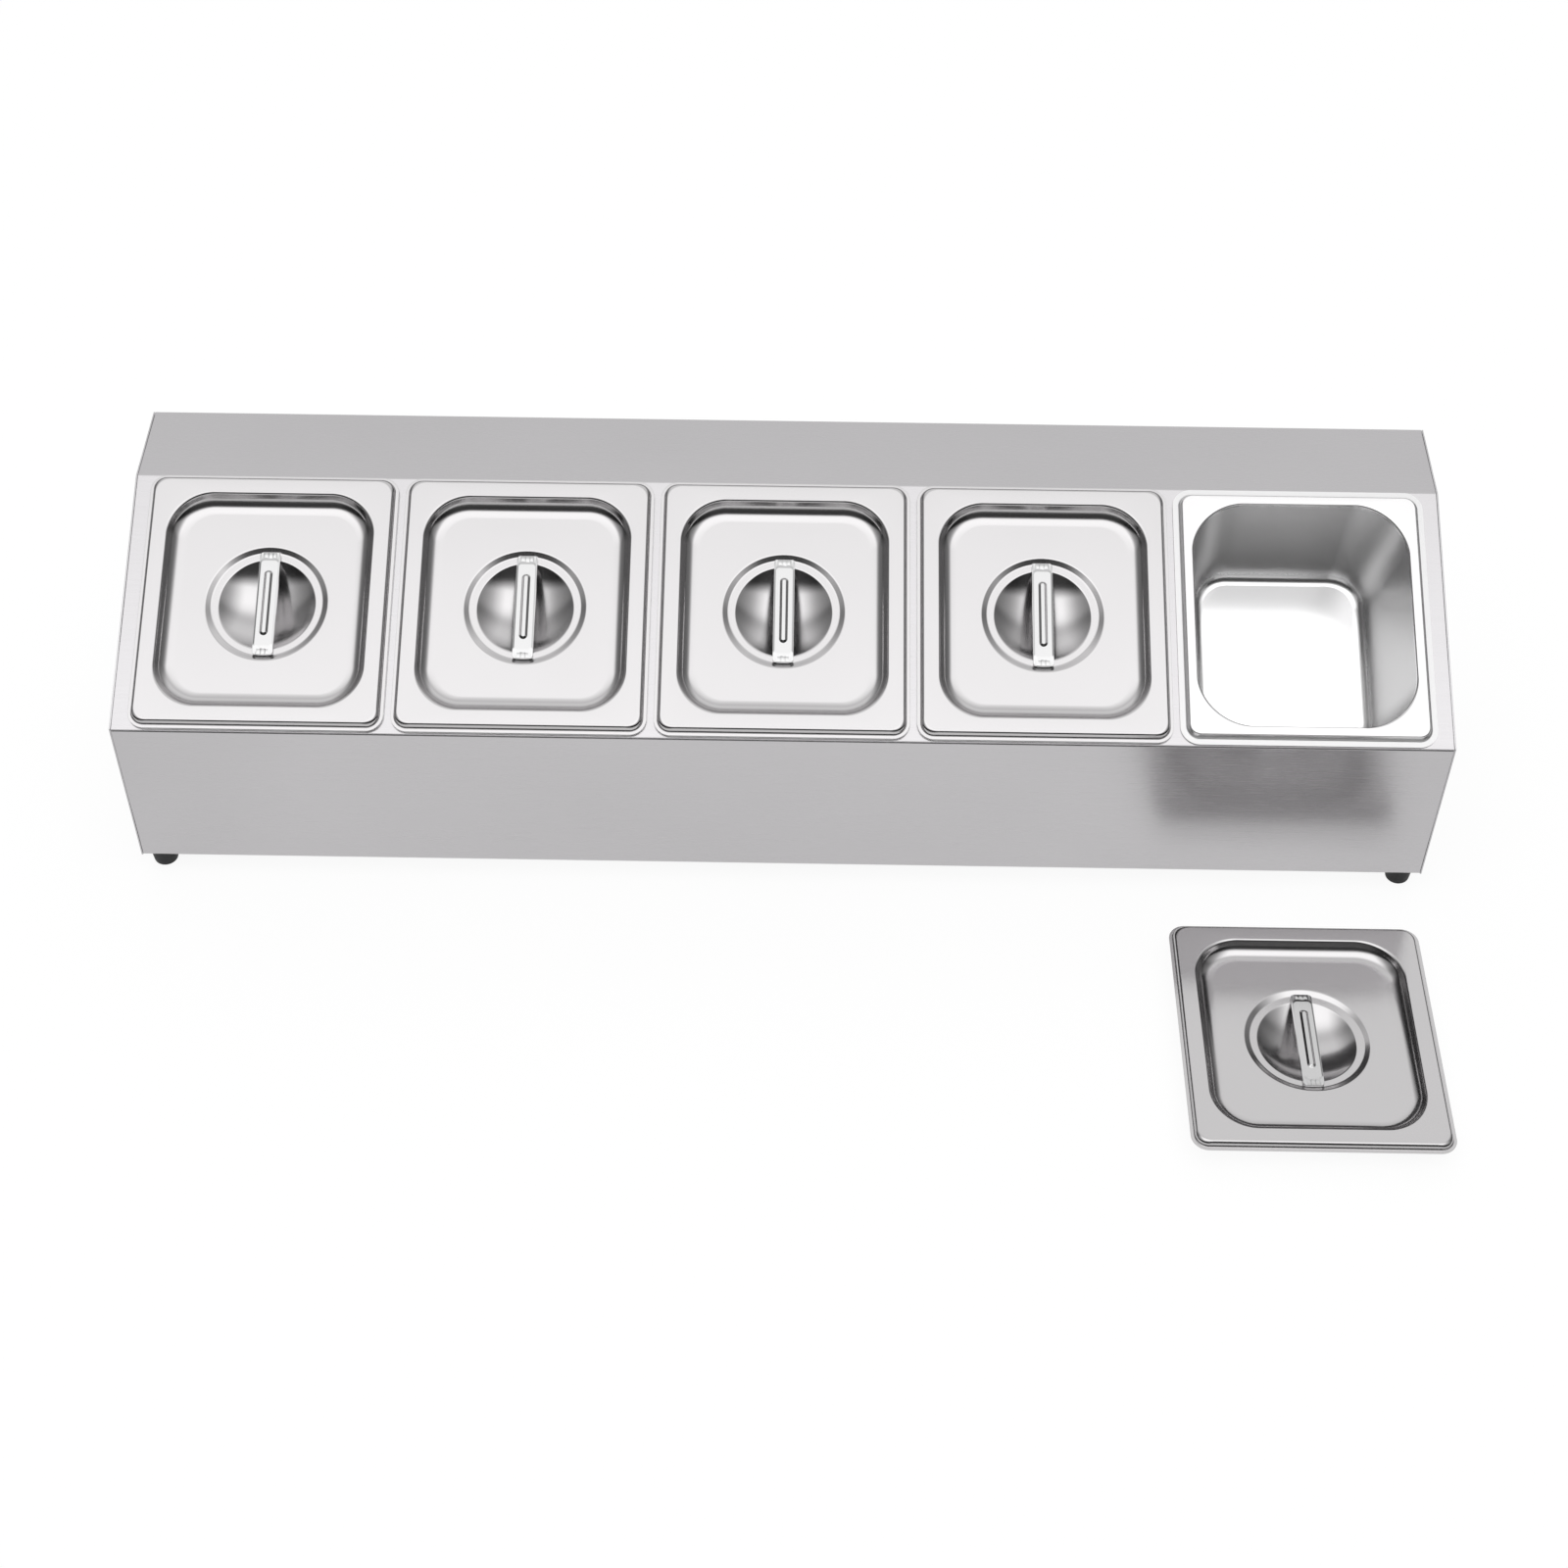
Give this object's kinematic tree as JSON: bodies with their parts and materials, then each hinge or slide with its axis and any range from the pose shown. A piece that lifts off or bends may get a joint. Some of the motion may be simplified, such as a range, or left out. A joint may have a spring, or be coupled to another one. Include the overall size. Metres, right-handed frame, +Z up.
{
  "type": "inclined condiment holder",
  "caption": "Sloping counter-top steel stand on rubber feet that holds a row of lift-out food pans with pressed lids and strap handles, one lid taken off.",
  "frame": {"origin": "on the counter, in the middle of the footprint of the stand and the loose lid in front of it; the stand is centred on X", "axes": "+X along the stand towards the open pan, +Y from the front to the back, +Z up"},
  "size_m": [0.848, 0.449, 0.213],
  "materials": {
    "stand_steel": "satin stainless sheet",
    "pan_steel": "bright rolled stainless",
    "lid_steel": "bright pressed stainless",
    "handle_steel": "bright pressed stainless strip",
    "foot_rubber": "matt black moulded rubber",
    "zinc_fastener": "zinc plated"
  },
  "bodies": {
    "stand": {"front_panel": "stand_steel", "deck_sheet": "stand_steel", "back_panel": "stand_steel", "left_end_panel": "stand_steel", "right_end_panel": "stand_steel", "foot_front_left": "foot_rubber", "foot_stud_front_left": "zinc_fastener", "foot_washer_front_left": "zinc_fastener", "foot_nut_front_left": "zinc_fastener", "foot_front_right": "foot_rubber", "foot_stud_front_right": "zinc_fastener", "foot_washer_front_right": "zinc_fastener", "foot_nut_front_right": "zinc_fastener", "foot_back_left": "foot_rubber", "foot_stud_back_left": "zinc_fastener", "foot_washer_back_left": "zinc_fastener", "foot_nut_back_left": "zinc_fastener", "foot_back_right": "foot_rubber", "foot_stud_back_right": "zinc_fastener", "foot_washer_back_right": "zinc_fastener", "foot_nut_back_right": "zinc_fastener"},
    "pan_1": {"pan_1": "pan_steel"},
    "pan_2": {"pan_2": "pan_steel"},
    "pan_3": {"pan_3": "pan_steel"},
    "pan_4": {"pan_4": "pan_steel"},
    "pan_5": {"pan_5": "pan_steel"},
    "lid_1": {"lid_1": "lid_steel", "lid_handle_1": "handle_steel"},
    "lid_2": {"lid_2": "lid_steel", "lid_handle_2": "handle_steel"},
    "lid_3": {"lid_3": "lid_steel", "lid_handle_3": "handle_steel"},
    "lid_4": {"lid_4": "lid_steel", "lid_handle_4": "handle_steel"},
    "lid_5": {"lid_5": "lid_steel", "lid_handle_5": "handle_steel"}
  },
  "joints": [
    {"name": "pan_1_lift", "type": "slide", "parent": "stand", "child": "pan_1", "axis": [0, -0.4003, 0.9164], "range_m": [0, 0.13]},
    {"name": "pan_2_lift", "type": "slide", "parent": "stand", "child": "pan_2", "axis": [0, -0.4003, 0.9164], "range_m": [0, 0.13]},
    {"name": "pan_3_lift", "type": "slide", "parent": "stand", "child": "pan_3", "axis": [0, -0.4003, 0.9164], "range_m": [0, 0.13]},
    {"name": "pan_4_lift", "type": "slide", "parent": "stand", "child": "pan_4", "axis": [0, -0.4003, 0.9164], "range_m": [0, 0.13]},
    {"name": "pan_5_lift", "type": "slide", "parent": "stand", "child": "pan_5", "axis": [0, -0.4003, 0.9164], "range_m": [0, 0.13]},
    {"name": "lid_1_lift", "type": "slide", "parent": "pan_1", "child": "lid_1", "axis": [0, -0.4003, 0.9164], "range_m": [0, 0.1]},
    {"name": "lid_2_lift", "type": "slide", "parent": "pan_2", "child": "lid_2", "axis": [0, -0.4003, 0.9164], "range_m": [0, 0.1]},
    {"name": "lid_3_lift", "type": "slide", "parent": "pan_3", "child": "lid_3", "axis": [0, -0.4003, 0.9164], "range_m": [0, 0.1]},
    {"name": "lid_4_lift", "type": "slide", "parent": "pan_4", "child": "lid_4", "axis": [0, -0.4003, 0.9164], "range_m": [0, 0.1]},
    {"name": "lid_5_lift", "type": "slide", "parent": "stand", "child": "lid_5", "axis": [0, 0, 1], "range_m": [0, 0.15]}
  ]
}
